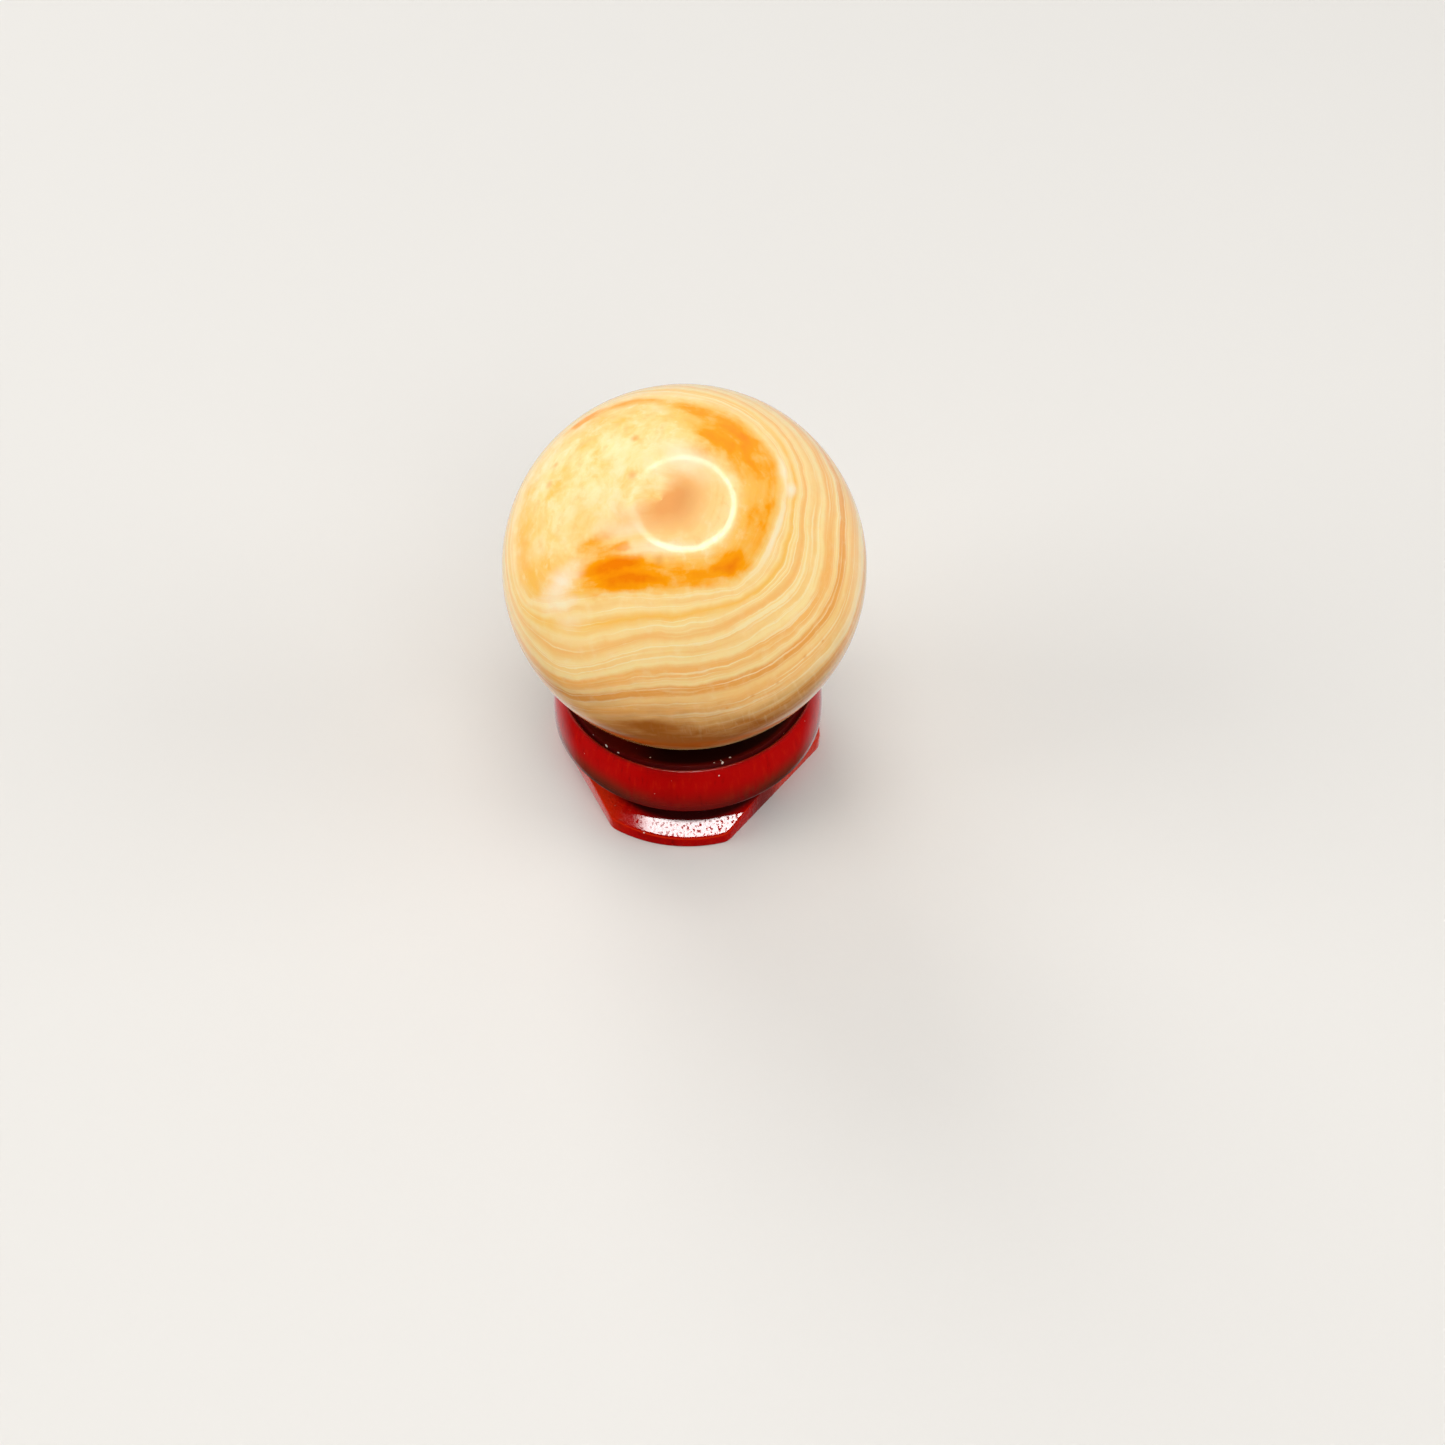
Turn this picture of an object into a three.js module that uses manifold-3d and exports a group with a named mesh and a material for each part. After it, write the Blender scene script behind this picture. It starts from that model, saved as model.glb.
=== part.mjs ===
// Polished ball of banded calcite, resting loose on a small turned stand of lacquered wood.
// Millimetres, +Z up. The origin is the middle of the stand's underside, on the surface that it stands on.
// The stand's front faces -Y and its right side +X.

import * as THREE from "three";
import { mergeVertices } from "three/addons/utils/BufferGeometryUtils.js";
import Module from "manifold-3d";

// Ball
const BALL_DIAMETER = 40;
const SEAT_CLEARANCE = 0.25; // between the ball and the edge that carries it

// Seat ring, from the outside in
const RING_DIAMETER = 32; // over the widest line of the bead
const BEAD_WIDTH = 1.2; // from the widest line in to the crest
const QUIRK_WIDTH = 0.7; // the narrow groove between the crest and the lip
const QUIRK_DEPTH = 0.45; // below the lip
const DISH_WIDTH = 5.6; // from the lip in to the bore
const NECK_WALL = 3.8; // wood around the bore at the groove below the bead
const SPIGOT_WALL = 2.4; // wood around the bore at the spigot

// Seat ring, from the top down
const LIP_DROP = 0.1; // the lip below the crest
const DISH_DEPTH = 1; // the bore's upper edge below the lip
const BEAD_HEIGHT = 6.8; // from the underside of the bead to the crest
const BELLY_HEIGHT = 1; // the widest line above the underside of the bead
const BELLY_UNDERCUT = 0.5; // how far the bead draws in below its widest line
const GROOVE_HEIGHT = 2.9; // from the neck's shoulder to the underside of the bead
const SPIGOT_SHORTFALL = 0.5; // the spigot's end above the underside of the foot

// Foot
const GLUE_LINE = 0.15; // between the ring and the foot, at the shoulder and around the spigot
const EDGE_HEIGHT = 1.6; // of the lobes' upright edge
const SLOPE_RISE = 1.75; // from the lobes' edge to the level land round the neck
const LAND_WIDTH = 0.6; // of the level land that shows round the neck
const LOBE_LEDGE = 3.7; // how far the lobes stand out past the neck
const CORNER_RADIUS = 2.2; // where a flat runs into a lobe
// The three flats are sawn by eye: turn from the front towards the right, and reach past the neck
const FLATS = [
  { turn: -65, ledge: 1.7 },
  { turn: 50, ledge: 0.9 },
  { turn: 173, ledge: 1.3 },
];

// Fineness of the round surfaces
const BALL_SEGMENTS = 48;
const TURNED_SEGMENTS = 64;
const ARC_STEPS = 4;
const SAW_MARGIN = 0.5; // the turned blank and the saw cut reach this far past the finished foot

// Radii and heights that follow from the sizes above
const ballRadius = BALL_DIAMETER / 2;
const ringRadius = RING_DIAMETER / 2;
const crestRadius = ringRadius - BEAD_WIDTH;
const lipRadius = crestRadius - QUIRK_WIDTH;
const boreRadius = lipRadius - DISH_WIDTH;
const neckRadius = boreRadius + NECK_WALL;
const spigotRadius = boreRadius + SPIGOT_WALL;
const socketRadius = spigotRadius + GLUE_LINE;
const landRadius = neckRadius + LAND_WIDTH;
const lobeRadius = neckRadius + LOBE_LEDGE;

const footHeight = EDGE_HEIGHT + SLOPE_RISE;
const shoulderZ = footHeight + GLUE_LINE;
const beadBottomZ = shoulderZ + GROOVE_HEIGHT;
const bellyZ = beadBottomZ + BELLY_HEIGHT;
const crestZ = beadBottomZ + BEAD_HEIGHT;
const lipZ = crestZ - LIP_DROP;
const quirkZ = lipZ - QUIRK_DEPTH;
const seatZ = lipZ - DISH_DEPTH;
const ballZ = seatZ + Math.sqrt((ballRadius + SEAT_CLEARANCE) ** 2 - boreRadius ** 2);

const calcite = new THREE.MeshStandardMaterial({ color: 0xe6bd80, roughness: 0.22, metalness: 0 });
const lacquer = new THREE.MeshStandardMaterial({ color: 0x9a0604, roughness: 0.28, metalness: 0 });

const wasm = await Module();
wasm.setup();

// A closed geometry as a solid that can be cut
function solidOf(geometry) {
  const bare = geometry.clone();
  bare.deleteAttribute("normal");
  bare.deleteAttribute("uv");
  const welded = mergeVertices(bare);
  const mesh = new wasm.Mesh({
    numProp: 3,
    vertProperties: new Float32Array(welded.attributes.position.array),
    triVerts: new Uint32Array(welded.index.array),
  });
  return new wasm.Manifold(mesh);
}

// A solid back as a geometry
function geometryOf(solid) {
  const mesh = solid.getMesh();
  const geometry = new THREE.BufferGeometry();
  geometry.setAttribute("position", new THREE.BufferAttribute(mesh.vertProperties, 3));
  geometry.setIndex(new THREE.BufferAttribute(mesh.triVerts, 1));
  geometry.computeVertexNormals();
  return geometry;
}

// A closed profile of radius and height, turned about the vertical axis
function turned(profile) {
  profile.closePath();
  const points = profile.getPoints(ARC_STEPS);
  return new THREE.LatheGeometry(points, TURNED_SEGMENTS).rotateX(Math.PI / 2);
}

function namedMesh(name, geometry, material) {
  const mesh = new THREE.Mesh(geometry, material);
  mesh.name = name;
  return mesh;
}

// The solid ball, with its poles upright
function calciteSphere() {
  const geometry = new THREE.SphereGeometry(ballRadius, BALL_SEGMENTS, BALL_SEGMENTS / 2);
  const mesh = namedMesh("calcite_sphere", geometry.rotateX(Math.PI / 2), calcite);
  mesh.position.z = ballZ;
  return mesh;
}

// Spigot, neck, bead, quirk, lip and dish around a through bore
function seatRing() {
  const profile = new THREE.Path();
  profile.moveTo(boreRadius, SPIGOT_SHORTFALL);
  profile.lineTo(spigotRadius, SPIGOT_SHORTFALL);
  profile.lineTo(spigotRadius, shoulderZ);
  profile.lineTo(neckRadius, shoulderZ);
  profile.lineTo(neckRadius, beadBottomZ);
  const undersideRadius = ringRadius - BELLY_UNDERCUT;
  profile.lineTo(undersideRadius, beadBottomZ);
  profile.absellipse(undersideRadius, bellyZ, BELLY_UNDERCUT, BELLY_HEIGHT, -Math.PI / 2, 0);
  profile.absellipse(crestRadius, bellyZ, BEAD_WIDTH, crestZ - bellyZ, 0, Math.PI / 2);
  profile.lineTo(lipRadius + QUIRK_WIDTH / 2, quirkZ);
  profile.lineTo(lipRadius, lipZ);
  // The dish falls away steeply from the lip and runs nearly level into the bore's edge
  profile.quadraticCurveTo(lipRadius - DISH_WIDTH / 2, seatZ, boreRadius, seatZ);
  return namedMesh("seat_ring", turned(profile), lacquer);
}

// The foot's plan: three lobes on one circle, joined by straight flats with rounded corners
function lobedOutline() {
  const outline = new THREE.Shape();
  const cuts = FLATS.map(({ turn, ledge }) => {
    const facing = THREE.MathUtils.degToRad(turn) - Math.PI / 2;
    // A corner's centre lies one corner radius inside both the flat and the lobes' circle
    const inward = neckRadius + ledge - CORNER_RADIUS;
    const reach = lobeRadius - CORNER_RADIUS;
    const spread = Math.acos(inward / reach);
    return { facing, spread, reach };
  });
  cuts.forEach(({ facing, spread, reach }, index) => {
    const start = facing - spread;
    const end = facing + spread;
    const next = cuts[(index + 1) % cuts.length];
    outline.absarc(reach * Math.cos(start), reach * Math.sin(start), CORNER_RADIUS, start, facing);
    outline.absarc(reach * Math.cos(end), reach * Math.sin(end), CORNER_RADIUS, facing, end);
    outline.absarc(0, 0, lobeRadius, end, next.facing - next.spread);
  });
  return outline;
}

// The turned blank with its sloping top and the spigot's socket, sawn to the lobed plan
function lobedFoot() {
  const fall = SLOPE_RISE / (lobeRadius - landRadius);
  const blankRadius = lobeRadius + SAW_MARGIN;
  const blank = new THREE.Path();
  blank.moveTo(socketRadius, 0);
  blank.lineTo(blankRadius, 0);
  blank.lineTo(blankRadius, EDGE_HEIGHT - fall * SAW_MARGIN);
  blank.lineTo(landRadius, footHeight);
  blank.lineTo(socketRadius, footHeight);
  const plan = new THREE.ExtrudeGeometry(lobedOutline(), {
    depth: footHeight + 2 * SAW_MARGIN,
    curveSegments: ARC_STEPS,
    bevelEnabled: false,
  }).translate(0, 0, -SAW_MARGIN);
  const foot = solidOf(turned(blank)).intersect(solidOf(plan));
  return namedMesh("lobed_foot", geometryOf(foot), lacquer);
}

const stand = new THREE.Group();
stand.add(lobedFoot(), seatRing());

const ornament = new THREE.Group();
ornament.add(stand, calciteSphere());

export default ornament;
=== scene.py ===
"""Polished ball of banded calcite on a turned stand of red lacquered wood, dressed around its solids."""

import math
from collections import namedtuple
from functools import reduce

import bmesh
import bpy
from bpy.props import FloatProperty, FloatVectorProperty, IntProperty, PointerProperty
from mathutils import Euler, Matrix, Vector, noise


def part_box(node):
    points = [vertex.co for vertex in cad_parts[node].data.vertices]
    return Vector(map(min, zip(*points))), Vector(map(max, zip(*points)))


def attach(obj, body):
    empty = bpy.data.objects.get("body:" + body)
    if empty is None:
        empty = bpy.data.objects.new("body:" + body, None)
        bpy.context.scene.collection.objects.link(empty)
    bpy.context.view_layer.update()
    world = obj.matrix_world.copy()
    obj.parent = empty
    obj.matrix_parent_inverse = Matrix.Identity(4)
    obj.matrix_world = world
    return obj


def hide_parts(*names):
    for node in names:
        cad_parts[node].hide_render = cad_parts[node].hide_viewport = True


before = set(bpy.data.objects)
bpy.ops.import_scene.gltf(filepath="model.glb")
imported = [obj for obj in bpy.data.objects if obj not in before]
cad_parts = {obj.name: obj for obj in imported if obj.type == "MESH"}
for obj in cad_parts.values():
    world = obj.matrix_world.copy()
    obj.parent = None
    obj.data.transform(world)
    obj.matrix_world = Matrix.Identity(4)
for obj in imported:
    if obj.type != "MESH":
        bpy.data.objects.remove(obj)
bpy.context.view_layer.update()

bl_info = {
    "name": "Calcite ball on a turned stand",
    "version": (1, 0, 0),
    "blender": (4, 5, 0),
    "location": "3D view > Sidebar > Ornament",
    "description": "Builds a banded calcite ball, its red lacquered stand and the stage",
    "category": "Object",
}

MM = 0.001
FULL_TURN = 2 * math.pi

BALL_LOW, BALL_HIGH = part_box("calcite_sphere")
RING_LOW, RING_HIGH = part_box("seat_ring")
FOOT_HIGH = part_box("lobed_foot")[1]

# Colours of the stone's layers, which are counted from their pole outwards in degrees
LAYERS = (
    (4, "blush"), (11, "sand"), (15.5, "cream"), (19.5, "honey"), (25.5, "honey"),
    (28, "cream"), (29.6, "sand"), (31.6, "cream"), (33.6, "honey"), (36.4, "cream"), (38, "sand"),
    (39.8, "tan"), (41, "sand"), (42.3, "cream"), (44, "sand"), (46, "sand"), (47.8, "cream"),
    (49, "cream"), (50.6, "tan"), (53.5, "tan"), (55.2, "sand"), (56.4, "cream"), (57.8, "tawny"),
    (60.4, "tawny"), (62.6, "sand"), (63.6, "sand"), (66, "tan"), (69, "tan"), (73, "sand"), (80, "sand"),
    (120, "cream"),
)
LAYER_SPAN = 180  # degrees that the layers' colours are spread over
# Layers that come up at the core's edge and at the edge of the skin round it
CORE, SKIN = 28, 42
# Depth of those edges below the layers' pole, in degrees, at turns from -180 to 180
CORE_EDGE = (
    (-180, 42), (-165, 45), (-150, 50), (-130, 54), (-105, 57), (-80, 58), (-58, 58), (-48, 52), (-40, 44),
    (-30, 36), (-20, 31.5), (-8, 28.7), (10, 28), (35, 29), (45, 31), (55, 33.6), (85, 34.5), (100, 36),
    (115, 39), (135, 40.5), (180, 42),
)
SKIN_EDGE = (
    (-180, 56), (-150, 62), (-120, 66), (-90, 68), (-60, 68.5), (-50, 67.5), (-40, 66), (-28, 61.5),
    (-20, 55.5), (-15, 51.5), (-10, 47.8), (-5, 45), (0, 42.9), (8, 41.8), (20, 42), (40, 43.2), (50, 43.8),
    (60, 45.2), (75, 47.2), (90, 46), (100, 45), (110, 46.5), (120, 48.5), (135, 51), (160, 54), (180, 56),
)
EDGE_SPAN = 90  # degrees that an edge's curve is spread over
# How a patch on the stone is written: turn and layer of its middle, reach each way in degrees, and strength
PATCH = ("Turn at", "Layer at", "Turn reach", "Layer reach", "Strength")
# Iron stains
STAINS = (
    (-38, 17, 17, 5.5, 0.55),
    (-26, 20, 17, 6, 0.7),
    (-21, 21, 27, 9, 0.65),
    (-13, 23, 25, 6.5, 0.65),
    (-10, 25.5, 22, 5, 0.4),
    (-36, 14, 13, 3.2, 0.75),
    (-21, 18.4, 18, 2.4, 0.6),
    (-3, 21.2, 20, 2.6, 0.6),
    (12, 23.5, 28, 6, 0.72),
    (38, 22.5, 28, 7, 0.75),
    (58, 21.5, 13, 7, 0.9),
    (80, 23.4, 36, 6, 0.65),
    (99, 23, 15, 5, 0.5),
    (126, 22.5, 24, 6.5, 0.85),
    (150, 18, 38, 12, 0.62),
    (166, 24, 30, 5, 0.75),
    (160, 18, 26, 8, 0.4),
    (-176, 24.5, 16, 4, 0.45),
    (-150, 25.3, 24, 2.6, 0.9),
    (-130, 26.6, 12, 2.4, 0.9),
    (-72, 25, 36, 5, 0.5),
    (-72, 13, 36, 6, 0.4),
    (-51, 13, 10, 8, 0.4),
    (-46, 10, 13, 3, 0.5),
    (-42, 33.5, 22, 5.5, 0.35),
    (-150, 88, 40, 5, 0.4),
    (150, 74, 50, 4, 0.35),
    (60, 118, 60, 6, 0.35),
)
# Pale chalky patches
CHALK = (
    (165, 10.5, 46, 4.5, 0.5),
    (4, 14.5, 48, 3.2, 0.4),
    (-45, 9, 26, 3, 0.35),
    (-48, 20, 7, 5, 0.55),
    (-45, 24, 7, 5, 0.65),
    (-40, 28.5, 7, 3.5, 0.5),
    (-33, 33, 8, 2.5, 0.35),
    (88, 28.2, 34, 1.3, 0.6),
    (113, 31, 5, 4, 0.8),
    (123, 28.5, 10, 1.8, 0.7),
    (-170, 98, 60, 2, 0.5),
    (110, 104, 50, 2.5, 0.4),
)
# Brown dirt drawn into the outer layers, and painted shade: the broad patches low in front darken the stone
# towards its underside
DIRT_AND_SHADE = (
    (3, 76, 13, 4.5, 0.35),
    (10, 90, 64, 23, 0.9),
    (62, 88, 60, 18, 0.35),
    (-14, 76, 50, 24, 0.35),
    (-34, 60, 34, 14, 0.35),
    (110, 5, 60, 4, 0.1),
)
# The cloudy, finely scratched and less polished places
CLOUDY = ((-120, 10, 95, 26, 1.2),)
SCRATCHED = ((44, 76, 46, 16, 0.14),)
DULL = ((-70, 8, 85, 10, 1),)
# Open pores: turn and depth in degrees, width and depth in millimetres
PORES = (
    (8, 17.5, 1.10, 0.06),
    (-97, 41, 1.00, 0.02),
    (-107, 42.5, 0.80, 0.01),
    (-122, 12.5, 1.00, 0.01),
    (-146, 24, 0.90, 0.01),
    (28, 70, 0.40, 0.02),
    (37, 69, 0.55, 0.03),
    (46, 69.5, 0.45, 0.02),
    (58, 68.5, 0.50, 0.02),
    (66, 70.5, 0.40, 0.02),
)
PORE_RUST = 1.5  # how far rust spreads, in half widths of a pore
GLOW_COLOUR = (1, 0.55, 0.25)  # shares of the glow's depth that red, green and blue light reach

# Sockets of the lacquer's colours, with the settings that they come from
LACQUER_COLOURS = {
    "Lacquer": "lacquer",
    "Thin lacquer": "thin_lacquer",
    "Recess": "recess",
    "Wood": "wood",
    "Dark wood": "dark_wood",
    "Dust": "dust",
}
# What the lacquer is told about each place: drawn thin (on the foot also painted light), darkened by painted
# shade, bare, grainy, matt, rubbed through (with painted shade low on the bead) or with dust (and painted
# glints)
MASKS = ("Thin", "Deep", "Bare", "Grain", "Matt", "Rubbed", "Dusty")
Spot = namedtuple("Spot", "x y z radius upward")

# Fineness of the meshes
RING_SEGMENTS = 240
BEAD_STEPS = 12
DISH_STEPS = 8
EASE_STEPS = 4
CORNER_STEPS = 10
FLAT_STEPS = 40
LOBE_STEPS = 80
SLOPE_STEPS = 12
TUBE_STEPS = 96
TUBE_SIDES = 12

# Shapes of unevenness
BALL_WAVES = 2.5  # waves of the ball's unevenness along one radius
RIPPLE_LENGTH = 1.7 * MM
CROWN_REACH = math.radians(33)  # from the steepest line of a lobe to where its slope eases most
CROWN_BEND = 1.25  # how fast the slope eases on the way there

# Soft lamps: place in metres, and the setting that holds the power
LAMPS = {
    "key_lamp": ((0.3, -0.7, 0.8), "key_light"),
    "left_lamp": ((-0.9, -0.1, 0.45), "left_light"),
    "right_lamp": ((0.9, -0.1, 0.45), "right_light"),
    "back_lamp": ((-0.4, 0.8, 0.6), "back_light"),
    "top_lamp": ((0, -0.1, 1), "top_light"),
}
LAMP_SIDE = 0.6
TUBE_SKEW = 0.35  # how much thicker the tube lamp is on the right, and thinner on the left
BACKGROUND_SHARE = 0.92  # of the floor's own brightness


def tint(code):
    """Scene-linear colour of a web colour such as e6bd80."""
    parts = [int(code[i:i + 2], 16) / 255 for i in (0, 2, 4)]
    return tuple(p / 12.92 if p <= 0.04045 else ((p + 0.055) / 1.055) ** 2.4 for p in parts)


def colour(name, description, code):
    """A colour that a user can change."""
    return FloatVectorProperty(name=name, description=description, subtype="COLOR", size=3, min=0, max=1,
                               default=tint(code))


def length(name, description, default):
    """A length that a user can change, in metres."""
    return FloatProperty(name=name, description=description, unit="LENGTH", precision=5, default=default)


def lengths(name, description, *defaults):
    """Three lengths that a user can change, in metres."""
    return FloatVectorProperty(name=name, description=description, unit="LENGTH", precision=5, size=3,
                               default=defaults)


def angle(name, description, degrees):
    """An angle that a user can change."""
    return FloatProperty(name=name, description=description, unit="ROTATION", default=math.radians(degrees))


def angles(name, description, *degrees):
    """Three angles that a user can change."""
    return FloatVectorProperty(name=name, description=description, unit="ROTATION", size=3,
                               default=tuple(math.radians(turn) for turn in degrees))


def share(name, description, default):
    """A share of 1 that a user can change."""
    return FloatProperty(name=name, description=description, subtype="FACTOR", min=0, max=1, default=default)


def power(name, description, watts):
    """A lamp's power that a user can change."""
    return FloatProperty(name=name, description=description, unit="POWER", default=watts)


class CalciteBall(bpy.types.PropertyGroup):
    """Size, layering, colours and polish of the stone ball"""
    radius: length("Radius", "Half the ball's width", (BALL_HIGH.x - BALL_LOW.x) / 2)
    cuts: IntProperty(name="Cuts", description="Cuts along each side of the cube that is rounded",
                      default=119)
    unevenness: length("Unevenness", "How far hand polishing leaves the ball out of round", 0.02 * MM)
    pole_turn: angle("Pole turn", "Way that the layers' pole faces, from the front to the right", -14.6)
    pole_rise: angle("Pole rise", "Height of the layers' pole above the ball's equator", 65.6)
    blush: colour("Blush", "Pinkish heart of the layers", "eca660")
    chalk: colour("Chalk", "Chalky patches", "fff0d6")
    ivory: colour("Ivory", "The palest clouds and growth lines", "ffeab8")
    cream: colour("Cream", "Pale layers", "fede9c")
    sand: colour("Sand", "Middle layers", "fdd088")
    tan: colour("Tan", "Darker layers", "fabc6c")
    tawny: colour("Tawny", "The darkest layers", "f0a854")
    honey: colour("Honey", "Lightly stained layers", "fdc058")
    amber: colour("Amber", "Iron-stained patches", "ffa206")
    rust: colour("Rust", "Heart of the strongest stains", "f48200")
    # Umber paints the dirt and also painted shade on the ball's underside in front
    umber: colour("Umber", "Dirt", "a05a14")
    pore: colour("Pore", "Rust in the open pores", "e8902c")
    polish: share("Polish", "Roughness of the polished stone", 0.11)
    dull_polish: share("Dull polish", "Roughness of the less polished places", 0.19)
    shine: share("Shine", "Strength of the stone's gloss", 0.3)
    glow: share("Glow", "Share of the light that goes into the stone", 0.4)
    glow_depth: length("Glow depth", "How deep light goes into the stone", 1.2 * MM)


class LacquerStand(bpy.types.PropertyGroup):
    """Sizes, colours and finish of the two turned pieces"""
    ring_radius: length("Ring radius", "Out to the widest line of the bead", RING_HIGH.x)
    crest_height: length("Crest height", "Up to the top of the bead", RING_HIGH.z)
    crest_radius: length("Crest radius", "Out to the top of the bead", 14.8 * MM)
    lip_radius: length("Lip radius", "Out to the lip inside the bead's crest", 14.1 * MM)
    lip_drop: length("Lip drop", "The lip below the crest", 0.1 * MM)
    quirk_depth: length("Quirk depth", "Groove between lip and crest, below the lip", 0.45 * MM)
    dish_depth: length("Dish depth", "The bore's upper edge below the lip", 1 * MM)
    bore_radius: length("Bore radius", "Half the width of the through hole", 8.5 * MM)
    belly_height: length("Belly height", "Up to the widest line of the bead", 7.4 * MM)
    bead_height: length("Bead height", "Up to the underside of the bead", 6.4 * MM)
    undercut: length("Undercut", "How far the bead draws in below its widest line", 0.5 * MM)
    neck_radius: length("Neck radius", "Out to the groove below the bead", 12.3 * MM)
    shoulder_height: length("Shoulder height", "Up to where the neck sits on the foot", 3.5 * MM)
    spigot_radius: length("Spigot radius", "Out to the spigot inside the foot", 10.9 * MM)
    spigot_height: length("Spigot end", "The spigot's end above the underside", RING_LOW.z)
    foot_height: length("Foot height", "Up to the level land round the neck", FOOT_HIGH.z)
    edge_height: length("Edge height", "Of the lobes' upright edge", 1.6 * MM)
    lobe_radius: length("Lobe radius", "Out to the lobes", 16 * MM)
    land_radius: length("Land radius", "Out to where the foot begins to slope", 12.9 * MM)
    socket_radius: length("Socket radius", "Half the width of the hole for the spigot", 11.05 * MM)
    corner_radius: length("Corner radius", "Where a flat runs into a lobe", 2.2 * MM)
    flat_turns: angles("Flat turns", "Way that each flat faces, from the front to the right", -65, 50, 173)
    flat_reaches: lengths("Flat reaches", "Distance of each flat from the axis",
                          14 * MM, 13.2 * MM, 13.6 * MM)
    crowns: angles("Crowns", "Way that the steepest line of each lobe faces, from the front to the right",
                   0, 112, -126)
    edge_ease: length("Edge ease", "How far lacquer rounds an edge", 0.3 * MM)
    ripple: length("Ripple", "Unevenness of the lacquered surface", 0.006 * MM)
    relief: length("Relief", "Height of brush marks and grains in the lacquer", 0.04 * MM)
    lacquer: colour("Lacquer", "Body of the red lacquer", "b40302")
    # The thin lacquer colour also paints light on the foot's sides and back
    thin_lacquer: colour("Thin lacquer", "Lacquer drawn thin over edges", "d02c08")
    # The recess colour is mostly painted shade: in the dish, the quirk, the neck, low on the bead and round
    # the foot's neck. It also darkens some brush marks
    recess: colour("Recess", "Lacquer and dirt in the dish and the grooves", "140101")
    wood: colour("Wood", "Bare wood under the stand", "8a5a32")
    # Dark wood also paints shade low on the seat ring's bead
    dark_wood: colour("Dark wood", "Its grain", "5c371c")
    # The dust colour also paints glints: the white specks gathered in the quirk in front
    dust: colour("Dust", "Specks of dust", "e8ddd2")
    shine: share("Shine", "Strength of the gloss under the clear coat", 0.1)
    clear_polish: share("Clear polish", "Roughness of the clear coat", 0.03)


class Stage(bpy.types.PropertyGroup):
    """Camera, floor and lamps"""
    eye_back: length("Eye distance", "Camera's distance in front of the axis", 142.4 * MM)
    eye_height: length("Eye height", "Camera's height above the floor", 178.8 * MM)
    eye_tilt: angle("Eye tilt", "Camera's fall below the horizon", 50.92)
    eye_yaw: angle("Eye yaw", "Camera's turn to the right", 1.8)
    eye_roll: angle("Eye roll", "Camera's roll", 0.12)
    field: angle("Field of view", "Angle across the picture", 42.447)
    floor: colour("Floor", "Plain pale floor", "dfdcd7")
    floor_roughness: share("Floor roughness", "Roughness of the floor", 0.7)
    floor_side: length("Floor side", "Length of the floor's sides", 1.8)
    room_light: share("Room light", "Strength of the even light from all round", 0.3)
    ground_light: share("Ground light", "Strength of the light from below the horizon", 0.02)
    gleam: share("Gleam", "Strength of the dim room in front, in gloss", 0.05)
    lamp_place: lengths("Lamp place", "Middle of the round tube lamp", 0, -15.5 * MM, 150 * MM)
    lamp_across: length("Lamp across", "Half the round lamp's width from side to side", 62 * MM)
    lamp_along: length("Lamp along", "Half the round lamp's width from front to back", 63 * MM)
    tube_front: length("Tube at the front", "Half the tube's thickness at the front", 3 * MM)
    tube_back: length("Tube at the back", "Half the tube's thickness at the back", 1.1 * MM)
    tube_light: FloatProperty(name="Tube light", description="Strength of the round tube lamp", default=23)
    key_light: power("Key light", "Power of the soft lamp in front", 3.2)
    left_light: power("Left light", "Power of the soft lamp on the left", 4.2)
    right_light: power("Right light", "Power of the soft lamp on the right", 2.9)
    back_light: power("Back light", "Power of the soft lamp behind", 3.8)
    top_light: power("Top light", "Power of the soft lamp overhead", 3.1)


def feed(tree, node, inputs):
    """Sets each input of a node to a value, or links it to a socket."""
    for key, value in inputs.items():
        if isinstance(value, bpy.types.NodeSocket):
            tree.links.new(value, node.inputs[key])
        else:
            node.inputs[key].default_value = value


def add(tree, kind, inputs=None, **settings):
    """A new shader node with its settings and inputs."""
    node = tree.nodes.new("ShaderNode" + kind)
    for name, value in settings.items():
        setattr(node, name, value)
    feed(tree, node, inputs or {})
    return node


def calc(tree, operation, *values):
    """The result of a Math node."""
    return add(tree, "Math", dict(enumerate(values)), operation=operation).outputs[0]


def times(tree, *values):
    """The product of values and sockets."""
    return reduce(lambda product, value: calc(tree, "MULTIPLY", product, value), values)


def most(tree, *values):
    """The greatest of values and sockets."""
    return reduce(lambda greatest, value: calc(tree, "MAXIMUM", greatest, value), values)


def split(tree, vector):
    """The three parts of a vector."""
    return add(tree, "SeparateXYZ", {0: vector}).outputs


def joined(tree, x, y, z=0.0):
    """A vector from three values or sockets."""
    return add(tree, "CombineXYZ", {0: x, 1: y, 2: z}).outputs[0]


def fade(tree, value, start, end, low=0.0, high=1.0):
    """Runs smoothly from low at start to high at end."""
    inputs = {"Value": value, "From Min": start, "From Max": end, "To Min": low, "To Max": high}
    return add(tree, "MapRange", inputs, interpolation_type="SMOOTHSTEP").outputs[0]


def blend(tree, factor, first, second):
    """Two colours mixed."""
    inputs = {0: factor}
    for key, value in ((6, first), (7, second)):
        inputs[key] = value if isinstance(value, bpy.types.NodeSocket) else (*value, 1)
    return add(tree, "Mix", inputs, data_type="RGBA").outputs[2]


def layered(tree, shade, coats):
    """A colour with coats laid over it in order, each a mask and a colour."""
    for mask, coat in coats:
        shade = blend(tree, mask, shade, coat)
    return shade


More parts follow.
